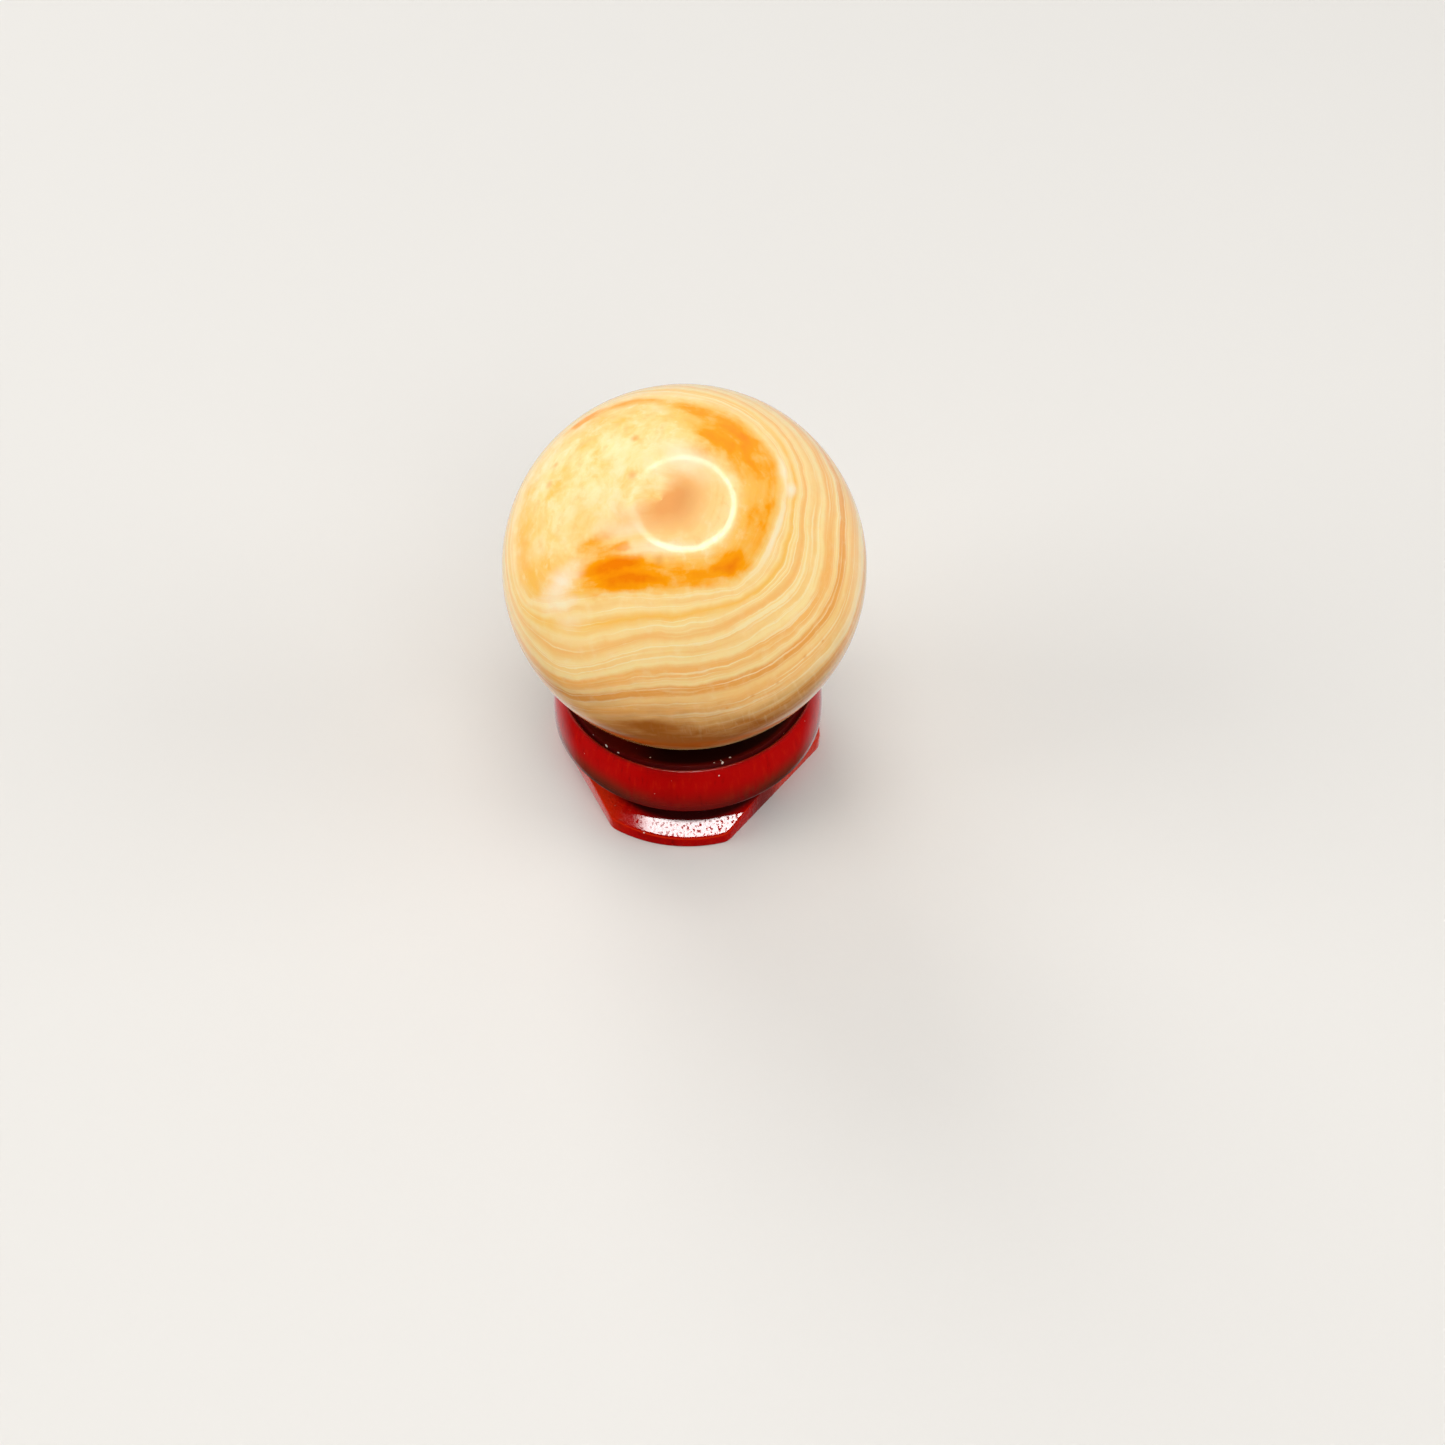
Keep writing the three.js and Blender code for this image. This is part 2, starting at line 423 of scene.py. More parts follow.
def cloud(tree, place, scale, detail=2.0, roughness=0.5):
    """Soft noise around 0.5."""
    inputs = {"Vector": place, "Scale": scale, "Detail": detail, "Roughness": roughness}
    return add(tree, "TexNoise", inputs).outputs[0]


def sway(tree, value, amount):
    """Noise turned into a shift to both sides of nothing."""
    return calc(tree, "MULTIPLY_ADD", value, amount, -amount / 2)


def ramp(tree, value, stops):
    """Colours along a value, from (place, colour) stops in rising order."""
    node = add(tree, "ValToRGB", {0: value})
    elements = node.color_ramp.elements
    for element, (place, shade) in zip(elements, (stops[0], stops[-1])):
        element.position = place
        element.color = (*shade, 1)
    for place, shade in stops[1:-1]:
        elements.new(place).color = (*shade, 1)
    return node.outputs[0]


def curve(tree, value, points):
    """A smooth curve through (place, height) points, both from 0 to 1."""
    node = add(tree, "FloatCurve", {"Value": value})
    track = node.mapping.curves[0].points
    for end, point in zip(track, (points[0], points[-1])):
        end.location = point
    for point in points[1:-1]:
        track.new(*point)
    node.mapping.update()
    return node.outputs[0]


def node_group(name, inputs, outputs):
    """An empty shader group, with its inputs and outputs by name."""
    tree = bpy.data.node_groups.new(name, "ShaderNodeTree")
    for direction, sockets in (("INPUT", inputs), ("OUTPUT", outputs)):
        for socket, kind in sockets.items():
            tree.interface.new_socket(name=socket, in_out=direction, socket_type="NodeSocket" + kind)
    return tree, tree.nodes.new("NodeGroupInput").outputs, tree.nodes.new("NodeGroupOutput")


def new_material(name):
    """An empty node material with its Principled shader."""
    material = bpy.data.materials.new(name)
    material.use_nodes = True
    return material, material.node_tree, material.node_tree.nodes["Principled BSDF"]


def mesh_object(name, bm, material, place=(0, 0, 0)):
    """A mesh in the scene."""
    mesh = bpy.data.meshes.new(name)
    bm.to_mesh(mesh)
    bm.free()
    mesh.materials.append(material)
    made = bpy.data.objects.new(name, mesh)
    made.location = place
    bpy.context.scene.collection.objects.link(made)
    return made


def piece_from(name, bm, material, body, node, place=(0, 0, 0)):
    """A smooth mesh piece that stands for a CAD node and rides on its body."""
    piece = mesh_object(name, bm, material, place)
    faces = piece.data.polygons
    faces.foreach_set("use_smooth", [True] * len(faces))
    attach(piece, body)
    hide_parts(node)


def closed_loft(loops):
    """A mesh through closed loops of points, whose last loop joins the first."""
    bm = bmesh.new()
    rows = [[bm.verts.new(point) for point in loop] for loop in loops]
    for row, following in zip(rows, rows[1:] + rows[:1]):
        for i in range(len(row)):
            bm.faces.new((row[i - 1], row[i], following[i], following[i - 1]))
    bmesh.ops.recalc_face_normals(bm, faces=bm.faces)
    return bm


def eased(corners):
    """A closed outline with its corners rounded: each is x, y and how far back the rounding starts."""
    points = []
    for i, (x, y, ease) in enumerate(corners):
        here = Vector((x, y))
        before = Vector(corners[i - 1][:2]) - here
        after = Vector(corners[(i + 1) % len(corners)][:2]) - here
        if not ease:
            points.append(here)
            continue
        start = here + before.normalized() * min(ease, before.length / 2)
        end = here + after.normalized() * min(ease, after.length / 2)
        for step in range(EASE_STEPS + 1):
            s = step / EASE_STEPS
            points.append(start.lerp(here, s).lerp(here.lerp(end, s), s))
    return points


def rippled(bm, ripple):
    """The mesh with its surface moved in and out a little, as by hand-laid lacquer."""
    bm.normal_update()
    shifts = [vertex.normal * (ripple * noise.noise(vertex.co / RIPPLE_LENGTH)) for vertex in bm.verts]
    for vertex, shift in zip(bm.verts, shifts):
        vertex.co += shift
        vertex.co.z = max(vertex.co.z, 0)
    return bm


def polar(turn, depth):
    """Direction in the layers' own axes at a turn round their pole and a depth from it, in degrees."""
    turn, depth = math.radians(turn), math.radians(depth)
    return Vector((math.sin(depth) * math.cos(turn), math.sin(depth) * math.sin(turn), math.cos(depth)))


def pole_frame(ball):
    """Turn that carries the layers' own axes, with the pole upright, into place on the ball."""
    return Euler((0, math.pi / 2 - ball.pole_rise, ball.pole_turn - math.pi / 2))


def ball_mesh(ball):
    """A cube cut into a fine grid and blown up into a ball, a little uneven, with open pores."""
    turn_in = pole_frame(ball).to_matrix()
    pores = []
    for turn, depth, width, deep in PORES:
        pores.append((turn_in @ polar(turn, depth), width * MM / 2 / ball.radius, deep * MM))
    bm = bmesh.new()
    bmesh.ops.create_cube(bm, size=2)
    bmesh.ops.subdivide_edges(bm, edges=bm.edges, cuts=ball.cuts, use_grid_fill=True)
    for vertex in bm.verts:
        way = Vector(math.tan(part * math.pi / 4) for part in vertex.co).normalized()
        reach = ball.radius + ball.unevenness * noise.noise(way * BALL_WAVES)
        for middle, spread, deep in pores:
            off = (way - middle).length / spread
            if off < 2:
                reach -= deep * math.exp(-2 * off * off)
        vertex.co = way * reach
    return bm


def layer_group():
    """Turn round the layers' pole in degrees, and the layer of the stone that comes up there."""
    tree, inputs, result = node_group("Stone layers", {"Way": "Vector"}, {"Turn": "Float", "Layer": "Float"})
    way = inputs["Way"]
    x, y, z = split(tree, way)
    turn = calc(tree, "DEGREES", calc(tree, "ARCTAN2", y, x))
    depth = calc(tree, "DEGREES", calc(tree, "ARCCOSINE", z))
    broad_waves = sway(tree, cloud(tree, way, 2.4), 3)
    fine_waves = sway(tree, cloud(tree, way, 9, 3), 2)
    depth = calc(tree, "ADD", calc(tree, "ADD", depth, broad_waves), fine_waves)
    round_pole = calc(tree, "MULTIPLY_ADD", turn, 1 / 360, 0.5)

    def edge_depth(edge):
        points = [(at / 360 + 0.5, deep / EDGE_SPAN) for at, deep in edge]
        return times(tree, curve(tree, round_pole, points), EDGE_SPAN)

    core, skin = edge_depth(CORE_EDGE), edge_depth(SKIN_EDGE)
    inside = add(tree, "MapRange", {"Value": depth, "From Max": core, "To Max": CORE}).outputs[0]
    between = {"Value": depth, "From Min": core, "From Max": skin, "To Max": SKIN - CORE}
    between = add(tree, "MapRange", between).outputs[0]
    outside = most(tree, calc(tree, "SUBTRACT", depth, skin), 0)
    layer = calc(tree, "ADD", calc(tree, "ADD", inside, between), outside)
    feed(tree, result, {"Turn": turn, "Layer": layer})
    return tree


def patch_group():
    """A soft patch with a ragged edge, round a turn and a layer, on top of what is there already."""
    sockets = dict.fromkeys(("Before", "Turn", "Layer", "Ragged", *PATCH), "Float")
    tree, inputs, result = node_group("Patch", sockets, {"Patch": "Float"})
    across = calc(tree, "WRAP", calc(tree, "SUBTRACT", inputs["Turn"], inputs["Turn at"]), 180, -180)
    across = calc(tree, "DIVIDE", across, inputs["Turn reach"])
    along = calc(tree, "SUBTRACT", inputs["Layer"], inputs["Layer at"])
    along = calc(tree, "DIVIDE", along, inputs["Layer reach"])
    off = calc(tree, "ADD", calc(tree, "POWER", across, 2), calc(tree, "POWER", along, 2))
    off = calc(tree, "ADD", calc(tree, "SQRT", off), inputs["Ragged"])
    patch = calc(tree, "MULTIPLY_ADD", fade(tree, off, 1.2, 0), inputs["Strength"], inputs["Before"])
    feed(tree, result, {"Patch": patch})
    return tree


def stone_bands(tree, ball, way, layer, below_pole):
    """Colours of the folded layers, with their broad and fine growth lines."""
    x, y, _ = split(tree, way)
    bands = [(at / LAYER_SPAN, getattr(ball, name)) for at, name in LAYERS]
    bands = ramp(tree, calc(tree, "DIVIDE", layer, LAYER_SPAN), bands)
    across = joined(tree, times(tree, layer, 0.8), times(tree, x, 2.5), times(tree, y, 2.5))
    lines = cloud(tree, across, 1, 3)
    growth = cloud(tree, across, 0.22, 3)
    threads = cloud(tree, joined(tree, times(tree, layer, 1.3), x, y), 1, 2)
    outside_core = fade(tree, layer, 23, 30)
    outer = fade(tree, layer, 64, 78)
    return layered(tree, bands, (
        (times(tree, below_pole, fade(tree, lines, 0.5, 0.75, 0, 0.5)), ball.cream),
        (times(tree, below_pole, fade(tree, lines, 0.5, 0.25, 0, 0.4)), ball.tan),
        (times(tree, outside_core, fade(tree, threads, 0.57, 0.66, 0, 0.6)), ball.ivory),
        (times(tree, outer, fade(tree, growth, 0.5, 0.36, 0, 0.8)), ball.tawny),
        (times(tree, outer, fade(tree, growth, 0.52, 0.64, 0, 0.7)), ball.ivory),
    ))


def pore_mask(tree, ball, way):
    """Rust in and round the open pores."""
    pores = 0.0
    for turn, depth, width, _ in PORES:
        off = add(tree, "VectorMath", {0: way, 1: polar(turn, depth)}, operation="DISTANCE").outputs["Value"]
        reach = width * MM / 2 / ball.radius
        pores = most(tree, pores, fade(tree, off, PORE_RUST * reach, 0, 0, 0.5))
    return pores


def calcite_material(ball):
    """Banded calcite: folded layers, clouds, iron stains, chalk, dirt and pores under a polish."""
    material, tree, shader = new_material("banded_calcite")
    turned = {"Vector": add(tree, "TexCoord").outputs["Object"], "Rotation": pole_frame(ball)}
    place = add(tree, "Mapping", turned, vector_type="TEXTURE").outputs[0]
    way = add(tree, "VectorMath", {0: place}, operation="NORMALIZE").outputs[0]
    turn, layer = add(tree, "Group", {"Way": way}, node_tree=layer_group()).outputs

    drift = add(tree, "TexNoise", {"Vector": way, "Scale": 3.5, "Detail": 3.0}).outputs["Color"]
    drifted = {0: drift, 1: (0.3, 0.3, 0.3), 2: way}
    drift = add(tree, "VectorMath", drifted, operation="MULTIPLY_ADD").outputs[0]
    x, y, _ = split(tree, drift)
    along = joined(tree, times(tree, layer, 0.3), times(tree, x, 6), times(tree, y, 6))
    feather = cloud(tree, along, 1, 3, 0.5)
    ragged = sway(tree, feather, 0.6)
    frayed = times(tree, ragged, 0.6)
    wisp = cloud(tree, way, 13, 5, 0.6)
    group = patch_group()

    def patches(places, edge=ragged):
        total = 0.0
        for patch in places:
            inputs = {"Before": total, "Turn": turn, "Layer": layer, "Ragged": edge}
            inputs.update(zip(PATCH, patch))
            total = add(tree, "Group", inputs, node_tree=group).outputs[0]
        return total

    below_pole = fade(tree, layer, 6, 15)
    clouds = ramp(tree, cloud(tree, drift, 5, 5, 0.6), (
        (0.34, ball.honey), (0.52, ball.cream), (0.68, ball.ivory), (0.8, ball.cream)))
    mottled = times(tree, fade(tree, layer, 31, 25, 0.2, 0.5), below_pole)
    iron = times(tree, patches(STAINS, frayed), fade(tree, feather, 0.3, 0.7, 1.2, 0.8),
                 fade(tree, wisp, 0.35, 0.65, 1.08, 0.86))
    stained = ramp(tree, calc(tree, "DIVIDE", iron, 2.2), (
        (0.12, ball.honey), (0.4, ball.amber), (0.85, ball.rust)))
    downward = joined(tree, times(tree, turn, 0.7), times(tree, split(tree, way)[2], 7))
    scratches = fade(tree, cloud(tree, downward, 1, 2), 0.5, 0.72)
    shade = layered(tree, stone_bands(tree, ball, way, layer, below_pole), (
        (calc(tree, "MINIMUM", patches(CLOUDY), 0.85), clouds),
        (times(tree, mottled, fade(tree, wisp, 0.5, 0.72)), ball.ivory),
        (times(tree, mottled, fade(tree, wisp, 0.48, 0.28)), ball.tan),
        (fade(tree, iron, 0, 1), stained),
        (patches(CHALK), ball.chalk),
        # Dirt, and painted shade on the stone's underside in front
        (patches(DIRT_AND_SHADE, frayed), ball.umber),
        (times(tree, patches(SCRATCHED), scratches), ball.ivory),
        (pore_mask(tree, ball, way), ball.pore),
    ))
    feed(tree, shader, {
        "Base Color": shade,
        "Roughness": fade(tree, patches(DULL), 0, 1, ball.polish, ball.dull_polish),
        "Specular IOR Level": ball.shine,
        "Subsurface Weight": ball.glow,
        "Subsurface Radius": GLOW_COLOUR,
        "Subsurface Scale": ball.glow_depth,
    })
    return material


def lacquer_group():
    """Red lacquer on wood: thin over edges and painted light where told, painted shade in recesses, bare
    below, with brush marks, dust and painted glints.
    """
    sockets = {"Place": "Vector", **dict.fromkeys(LACQUER_COLOURS, "Color"), **dict.fromkeys(MASKS, "Float")}
    results = {"Colour": "Color", "Roughness": "Float", "Gloss": "Float", "Height": "Float"}
    tree, inputs, result = node_group("Lacquer", sockets, results)
    place = inputs["Place"]
    x, y, z = split(tree, place)
    turn = calc(tree, "ARCTAN2", y, x)
    strokes = cloud(tree, joined(tree, times(tree, turn, 16), times(tree, z, 250)), 1.6, 4, 0.6)
    uneven = cloud(tree, place, 160, 3)
    peel = cloud(tree, place, 2200, 3, 0.6)
    specks = cloud(tree, place, 2600, 0)
    pits = cloud(tree, place, 2600, 2)
    grains = cloud(tree, place, 3600, 1)
    fibres = add(tree, "Mapping", {"Vector": place, "Scale": (900, 60, 60)}).outputs[0]
    fibres = fade(tree, cloud(tree, fibres, 1, 4, 0.6), 0.35, 0.65)

    worn_and_shaded = times(tree, inputs["Rubbed"], fade(tree, calc(tree, "ADD", strokes, uneven), 0.75, 1.1))
    # White specks: dust, and painted glints where they gather in the quirk in front
    dust_and_glint_specks = fade(tree, calc(tree, "MULTIPLY_ADD", inputs["Dusty"], 0.08, specks), 0.875, 0.895)
    shade = layered(tree, inputs["Lacquer"], (
        (fade(tree, strokes, 0.52, 0.75, 0, 0.35), inputs["Thin lacquer"]),
        (fade(tree, strokes, 0.46, 0.25, 0, 0.3), inputs["Recess"]),
        (fade(tree, uneven, 0.5, 0.3, 0, 0.2), inputs["Recess"]),
        # Lacquer drawn thin over edges, and painted light on the foot's sides and back
        (inputs["Thin"], inputs["Thin lacquer"]),
        # Dark wood shows where the lacquer is rubbed through, which low on the bead is partly painted shade
        (worn_and_shaded, inputs["Dark wood"]),
        # Painted shade in the recesses, low on the bead and round the foot's neck
        (inputs["Deep"], inputs["Recess"]),
        (inputs["Bare"], blend(tree, fibres, inputs["Wood"], inputs["Dark wood"])),
        (dust_and_glint_specks, inputs["Dust"]),
    ))
    rough = most(tree, fade(tree, uneven, 0.3, 0.7, 0.06, 0.14), times(tree, inputs["Bare"], 0.6),
                 times(tree, inputs["Deep"], 0.55))
    pitted = times(tree, inputs["Grain"], fade(tree, pits, 0.52, 0.61))
    dull = most(tree, inputs["Bare"], fade(tree, inputs["Deep"], 0.3, 0.9, 0, 0.9), inputs["Matt"], pitted)
    height = calc(tree, "ADD", times(tree, peel, 0.6), times(tree, strokes, 0.4))
    height = calc(tree, "MULTIPLY_ADD", fade(tree, grains, 0.45, 0.7, 0, 1.6), inputs["Grain"], height)
    gloss = calc(tree, "SUBTRACT", 1, dull)
    feed(tree, result, {"Colour": shade, "Roughness": rough, "Gloss": gloss, "Height": height})
    return tree


def lacquer_material(name, stand, group, masks):
    """Lacquer on one of the turned pieces. The masks are made from the spot on its surface."""
    material, tree, shader = new_material(name)
    coordinates = add(tree, "TexCoord").outputs
    x, y, z = split(tree, coordinates["Object"])
    radius = calc(tree, "SQRT", calc(tree, "ADD", calc(tree, "POWER", x, 2), calc(tree, "POWER", y, 2)))
    upward = split(tree, coordinates["Normal"])[2]
    inputs = {socket: (*getattr(stand, setting), 1) for socket, setting in LACQUER_COLOURS.items()}
    inputs["Place"] = coordinates["Object"]
    inputs.update(masks(tree, stand, Spot(x, y, z, radius, upward)))
    shade, rough, gloss, height = add(tree, "Group", inputs, node_tree=group).outputs
    bump = add(tree, "Bump", {"Height": height, "Strength": 0.5, "Distance": stand.relief})
    feed(tree, shader, {
        "Base Color": shade,
        "Roughness": rough,
        "Coat Weight": gloss,
        "Normal": bump.outputs[0],
        "Specular IOR Level": stand.shine,
        "Coat Roughness": stand.clear_polish,
    })
    return material


def ring_masks(tree, stand, spot):
    """Where the seat ring's lacquer has painted shade, is bare, matt, rubbed through with painted shade, or
    carries dust and painted glints.
    """
    belly, bead = stand.belly_height, stand.bead_height
    crest, lip, bore = stand.crest_radius, stand.lip_radius, stand.bore_radius
    aside = calc(tree, "ABSOLUTE", spot.x)
    # Painted shade: darker low on the bead in front and behind, in the neck and in the quirk.
    # The dish is darkened with painted shade as well, least on the left
    lower = times(tree, fade(tree, spot.z, belly + 4 * MM, bead + 0.3 * MM, 0, 0.62),
                  fade(tree, aside, 10 * MM, 15 * MM, 1, 0.2))
    neck = fade(tree, spot.z, bead + 0.6 * MM, bead, 0, 0.95)
    quirk = fade(tree, spot.radius, crest + 0.45 * MM, lip + 0.4 * MM, 0, 0.85)
    dish = times(tree, fade(tree, spot.radius, lip, lip - 0.8 * MM, 0.8, 0.99),
                 fade(tree, spot.x, -12 * MM, -2 * MM, 0.75, 1),
                 fade(tree, spot.radius, lip + 0.2 * MM, lip))
    # The bore and the spigot's end are bare wood
    bare_bore = fade(tree, spot.radius, bore + 0.1 * MM, bore + 0.02 * MM)
    bare_end = fade(tree, spot.z, stand.spigot_height + 0.3 * MM, stand.spigot_height + 0.1 * MM)
    # Specks of dust lie in the quirk; the group of white specks in one place in front is painted glints
    off_quirk = calc(tree, "ABSOLUTE", calc(tree, "SUBTRACT", spot.radius, (crest + lip) / 2))
    beside = calc(tree, "ABSOLUTE", calc(tree, "SUBTRACT", spot.x, 3.4 * MM))
    glint_cluster = times(tree, fade(tree, beside, 2.2 * MM, 0.8 * MM, 0, 1.7), fade(tree, spot.y, 0, -8 * MM),
                    fade(tree, off_quirk, 1.3 * MM, 0.6 * MM))
    return {
        "Deep": most(tree, lower, neck, quirk, dish),
        "Bare": most(tree, bare_bore, bare_end),
        "Matt": fade(tree, spot.radius, crest + 0.1 * MM, crest + 0.7 * MM, 0, 0.85),
        # The lacquer is rubbed through to dark wood towards the bead's bottom, most at the sides: partly
        # wear, partly painted shade and a painted dark reflection
        "Rubbed": times(tree, fade(tree, spot.z, belly + 3.5 * MM, belly, 0, 0.75),
                        fade(tree, aside, 2 * MM, 10 * MM, 0.25, 1)),
        "Dusty": most(tree, fade(tree, off_quirk, 0.5 * MM, 0.2 * MM), glint_cluster),
    }


def foot_masks(tree, stand, spot):
    """Where the foot's lacquer is thin and painted light, has painted shade, is bare, grainy or matt."""
    land = stand.land_radius
    # Lacquer drawn thin over the edges
    edge = times(tree, fade(tree, spot.upward, 0.75, 0.5), fade(tree, spot.upward, 0.1, 0.3, 0, 0.7))
    # Painted light: the lacquer is drawn lighter, more orange red behind and towards both sides
    back = fade(tree, spot.y, -12 * MM, -6 * MM, 0, 0.3)
    sides = fade(tree, calc(tree, "ABSOLUTE", spot.x), 7 * MM, 11 * MM, 0, 0.85)
    # Painted shadow of the bead lies round the neck in front and narrows towards the sides
    shade_reach = calc(tree, "MULTIPLY_ADD", calc(tree, "ADD", spot.radius, spot.y), 0.25, spot.radius)
    left_end = times(tree, fade(tree, spot.x, -4.4 * MM, -7 * MM), fade(tree, spot.y, -6 * MM, -9 * MM))
    return {
        "Thin": most(tree, edge, back, sides),
        "Deep": fade(tree, shade_reach, land + 1.9 * MM, land + 0.9 * MM, 0, 0.95),
        "Bare": fade(tree, spot.upward, -0.8, -0.95),
        "Grain": most(tree, fade(tree, spot.x, -10 * MM, 2 * MM, 0.3, 1),
                      fade(tree, spot.x, -3.5 * MM, -6 * MM)),
        "Matt": most(tree, fade(tree, spot.upward, 0.8, 0.6, 0, 0.9), left_end),
    }


def ring_profile(stand):
    """Outline of the seat ring's section as radius and height, from the bore's foot outwards and round."""
    ease = stand.edge_ease
    lip_height = stand.crest_height - stand.lip_drop
    seat_height = lip_height - stand.dish_depth
    bead_width = stand.ring_radius - stand.crest_radius
    bead_rise = stand.crest_height - stand.belly_height
    corners = [
        (stand.bore_radius, stand.spigot_height, ease),
        (stand.spigot_radius, stand.spigot_height, ease),
        (stand.spigot_radius, stand.shoulder_height, 0),
        (stand.neck_radius, stand.shoulder_height, ease / 2),
        (stand.neck_radius, stand.bead_height, ease),
        (stand.ring_radius - stand.undercut, stand.bead_height, ease),
    ]
    for step in range(BEAD_STEPS + 1):
        turn = math.pi / 2 * step / BEAD_STEPS
        corners.append((stand.crest_radius + bead_width * math.cos(turn),
                        stand.belly_height + bead_rise * math.sin(turn), 0))
    corners += [
        ((stand.crest_radius + stand.lip_radius) / 2, lip_height - stand.quirk_depth, ease / 3),
        (stand.lip_radius, lip_height, ease / 3),
    ]
    dish_width = stand.lip_radius - stand.bore_radius
    for step in range(1, DISH_STEPS):
        s = step / DISH_STEPS
        corners.append((stand.lip_radius - dish_width * s, seat_height + stand.dish_depth * (1 - s) ** 2, 0))
    corners.append((stand.bore_radius, seat_height, ease))
    return eased(corners)


def ring_mesh(stand):
    """The seat ring, turned from its section."""
    turns = [FULL_TURN * s / RING_SEGMENTS for s in range(RING_SEGMENTS)]
    loops = [[(r * math.cos(t), r * math.sin(t), z) for t in turns] for r, z in ring_profile(stand)]
    return rippled(closed_loft(loops), stand.ripple)


def facing(turn):
    """Level direction at a turn from +X towards +Y."""
    return Vector((math.cos(turn), math.sin(turn)))


def lobed_outline(stand):
    """Points of the foot's plan: three lobes on one circle, joined by flats with rounded corners."""
    out = stand.lobe_radius - stand.corner_radius
    cuts = []
    for turn, reach in zip(stand.flat_turns, stand.flat_reaches):
        cuts.append((turn - math.pi / 2, math.acos((reach - stand.corner_radius) / out)))
    points = []

    def arc(centre, radius, start, end, steps):
        for step in range(steps):
            points.append(centre + radius * facing(start + (end - start) * step / steps))

    for i, (flat, spread) in enumerate(cuts):
        start, end = flat - spread, flat + spread
        next_flat, next_spread = cuts[(i + 1) % len(cuts)]
        lobe_end = next_flat - next_spread
        lobe_end += FULL_TURN * math.ceil((end - lobe_end) / FULL_TURN)
        first, last = out * facing(start), out * facing(end)
        flat_start, flat_end = (centre + stand.corner_radius * facing(flat) for centre in (first, last))
        arc(first, stand.corner_radius, start, flat, CORNER_STEPS)
        # Each point goes a growing share of the way that is left, so the points crowd at the flat's end
        point = flat_start
        for step in range(FLAT_STEPS):
            point = point.lerp(flat_end, step / FLAT_STEPS)
            points.append(point)
        arc(last, stand.corner_radius, flat, end, CORNER_STEPS)
        arc(Vector((0, 0)), stand.lobe_radius, end, lobe_end, LOBE_STEPS)
    return points


def foot_mesh(stand):
    """The sloping foot lofted round its lobed plan, steepest at the middle of each lobe."""
    steepest = (stand.foot_height - stand.edge_height) / (stand.lobe_radius - stand.land_radius)
    columns = []
    for point in lobed_outline(stand):
        out = point.length
        ledge = out - stand.land_radius
        turn = math.atan2(point.x, -point.y)
        off = min(abs(math.remainder(turn - crown, FULL_TURN)) for crown in stand.crowns)
        crown = math.cos(CROWN_BEND * min(off, CROWN_REACH))
        back = min(max(off - CROWN_REACH, 0) / CROWN_REACH, 1)
        fall = steepest * (crown + (1 - crown) * back * back * (3 - 2 * back))
        corners = [
            (stand.socket_radius, 0, stand.edge_ease),
            (out, 0, stand.edge_ease),
            (out, stand.foot_height - fall * ledge, min(stand.edge_ease * 1.5, ledge * 0.6)),
        ]
        for step in range(1, SLOPE_STEPS):
            r = out - ledge * step / SLOPE_STEPS
            corners.append((r, stand.foot_height - fall * (r - stand.land_radius), 0))
        corners += [
            (stand.land_radius, stand.foot_height, stand.edge_ease / 4),
            (stand.socket_radius, stand.foot_height, stand.edge_ease),
        ]
        way = point / out
        columns.append([(r * way.x, r * way.y, z) for r, z in eased(corners)])
    return rippled(closed_loft(columns), stand.ripple)


def add_camera(scene, stage):
    """The camera, in front of the ornament and above it."""
    data = bpy.data.cameras.new("camera")
    data.sensor_fit = "HORIZONTAL"
    data.angle = stage.field
    data.clip_start = 10 * MM
    camera = bpy.data.objects.new("camera", data)
    camera.location = (0, -stage.eye_back, stage.eye_height)
    camera.rotation_euler = Euler((math.pi / 2 - stage.eye_tilt, stage.eye_roll, -stage.eye_yaw))
    scene.collection.objects.link(camera)
    scene.camera = camera


def soft_room(stage):
    """A world of even light from above. Gloss sees the pale background behind and a dim room in front."""
    world = bpy.data.worlds.new("soft_room")
    world.use_nodes = True
    tree = world.node_tree
    pale = stage.floor[1] * BACKGROUND_SHARE
    _, y, z = split(tree, add(tree, "TexCoord").outputs["Generated"])
    rays = add(tree, "LightPath").outputs
    strength = fade(tree, z, -0.05, 0.15, stage.ground_light, stage.room_light)
    behind = fade(tree, y, 0.1, 0.5, stage.gleam, pale)
    for ray, light in (("Is Glossy Ray", behind), ("Is Transmission Ray", pale), ("Is Camera Ray", pale)):
        strength = add(tree, "Mix", {0: rays[ray], 2: strength, 3: light}).outputs[0]
    feed(tree, tree.nodes["Background"], {"Strength": strength, "Color": (1, 1, 1, 1)})
    return world


def add_lamps(scene, stage):
    """The soft lamps, all facing the middle of the floor."""
    for name, (place, setting) in LAMPS.items():
        light = bpy.data.lights.new(name, "AREA")
        light.size = LAMP_SIDE
        light.energy = getattr(stage, setting)
        lamp = bpy.data.objects.new(name, light)
        lamp.location = place
        lamp.rotation_euler = Vector(place).to_track_quat("Z", "Y").to_euler()
        lamp.visible_glossy = False
        scene.collection.objects.link(lamp)


def add_floor(stage):
    """The plain floor, which gloss doesn't see."""
    bm = bmesh.new()
    bmesh.ops.create_grid(bm, x_segments=1, y_segments=1, size=stage.floor_side / 2)
    material, tree, shader = new_material("floor")
    feed(tree, shader, {"Base Color": (*stage.floor, 1), "Roughness": stage.floor_roughness})
    floor = mesh_object("floor", bm, material)
    floor.visible_glossy = False


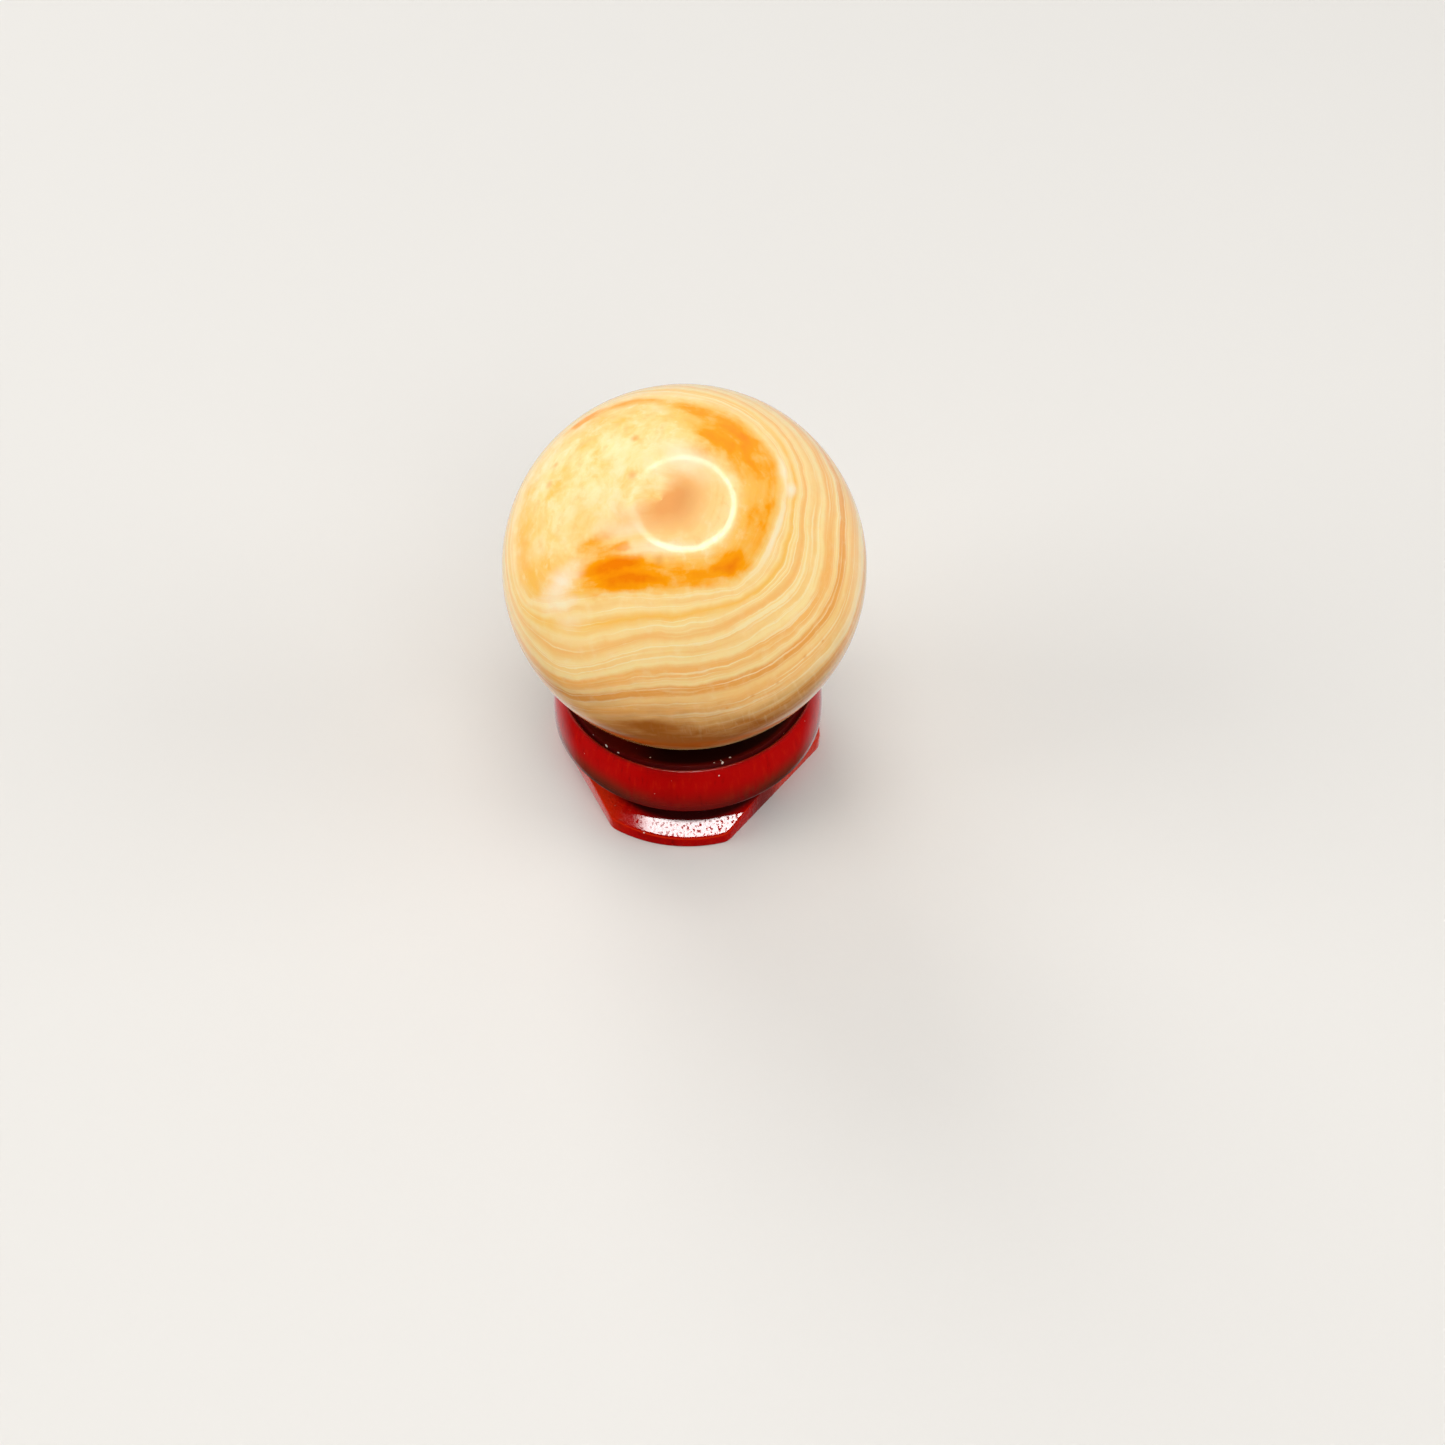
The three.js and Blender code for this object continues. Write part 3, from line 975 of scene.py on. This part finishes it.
def add_tube_lamp(stage):
    """The round tube lamp that the ball mirrors as a ring."""
    material, tree, _ = new_material("lamp_glow")
    glow = add(tree, "Emission", {"Strength": stage.tube_light})
    feed(tree, tree.nodes["Material Output"], {"Surface": glow.outputs[0]})
    up = Vector((0, 0, 1))
    loops = []
    for step in range(TUBE_STEPS):
        way = facing(FULL_TURN * step / TUBE_STEPS).to_3d()
        middle = Vector(stage.lamp_place) + Vector((stage.lamp_across * way.x, stage.lamp_along * way.y, 0))
        thick = stage.tube_back + (stage.tube_front - stage.tube_back) * (0.5 - 0.5 * way.y)
        thick *= 1 + TUBE_SKEW * way.x
        sides = (facing(FULL_TURN * side / TUBE_SIDES) for side in range(TUBE_SIDES))
        loops.append([middle + thick * (side.x * way + side.y * up) for side in sides])
    lamp = mesh_object("tube_lamp", closed_loft(loops), material)
    lamp.visible_camera = False
    lamp.visible_diffuse = False


class ORNAMENT_OT_stage(bpy.types.Operator):
    """Makes the camera, the floor and the lamps"""
    bl_idname = "ornament.stage"
    bl_label = "Stage"

    def execute(self, context):
        scene, stage = context.scene, context.scene.ornament_stage
        scene.view_settings.view_transform = "Standard"
        scene.world = soft_room(stage)
        add_camera(scene, stage)
        add_lamps(scene, stage)
        add_floor(stage)
        add_tube_lamp(stage)
        return {"FINISHED"}


class ORNAMENT_OT_calcite_ball(bpy.types.Operator):
    """Makes the polished calcite ball"""
    bl_idname = "ornament.calcite_ball"
    bl_label = "Calcite ball"

    def execute(self, context):
        ball = context.scene.calcite_ball
        piece_from("polished_ball", ball_mesh(ball), calcite_material(ball), "sphere", "calcite_sphere",
                   place=(BALL_LOW + BALL_HIGH) / 2)
        return {"FINISHED"}


class ORNAMENT_OT_stand(bpy.types.Operator):
    """Makes the two turned pieces of the stand"""
    bl_idname = "ornament.stand"
    bl_label = "Stand"

    def execute(self, context):
        stand = context.scene.lacquer_stand
        group = lacquer_group()
        for name, mesh, masks, node in (
                ("turned_ring", ring_mesh(stand), ring_masks, "seat_ring"),
                ("sloping_foot", foot_mesh(stand), foot_masks, "lobed_foot")):
            material = lacquer_material(name + "_lacquer", stand, group, masks)
            piece_from(name, mesh, material, "stand", node)
        return {"FINISHED"}


# Settings in the scene, each with its kind and the operator that makes something from them
MAKERS = {
    "ornament_stage": (Stage, ORNAMENT_OT_stage),
    "calcite_ball": (CalciteBall, ORNAMENT_OT_calcite_ball),
    "lacquer_stand": (LacquerStand, ORNAMENT_OT_stand),
}


class ORNAMENT_PT_sidebar(bpy.types.Panel):
    """Lists the settings and the makers"""
    bl_label = "Calcite ornament"
    bl_space_type = "VIEW_3D"
    bl_region_type = "UI"
    bl_category = "Ornament"

    def draw(self, context):
        for name, (kind, operator) in MAKERS.items():
            box = self.layout.box()
            for setting in kind.__annotations__:
                box.prop(getattr(context.scene, name), setting)
            box.operator(operator.bl_idname)


CLASSES = (*(kind for pair in MAKERS.values() for kind in pair), ORNAMENT_PT_sidebar)


def register():
    for kind in CLASSES:
        bpy.utils.register_class(kind)
    for name, (kind, _) in MAKERS.items():
        setattr(bpy.types.Scene, name, PointerProperty(type=kind))


def unregister():
    for name in MAKERS:
        delattr(bpy.types.Scene, name)
    for kind in reversed(CLASSES):
        bpy.utils.unregister_class(kind)


def main():
    register()
    bpy.ops.ornament.stage()
    bpy.ops.ornament.calcite_ball()
    bpy.ops.ornament.stand()


if __name__ == "__main__":
    main()
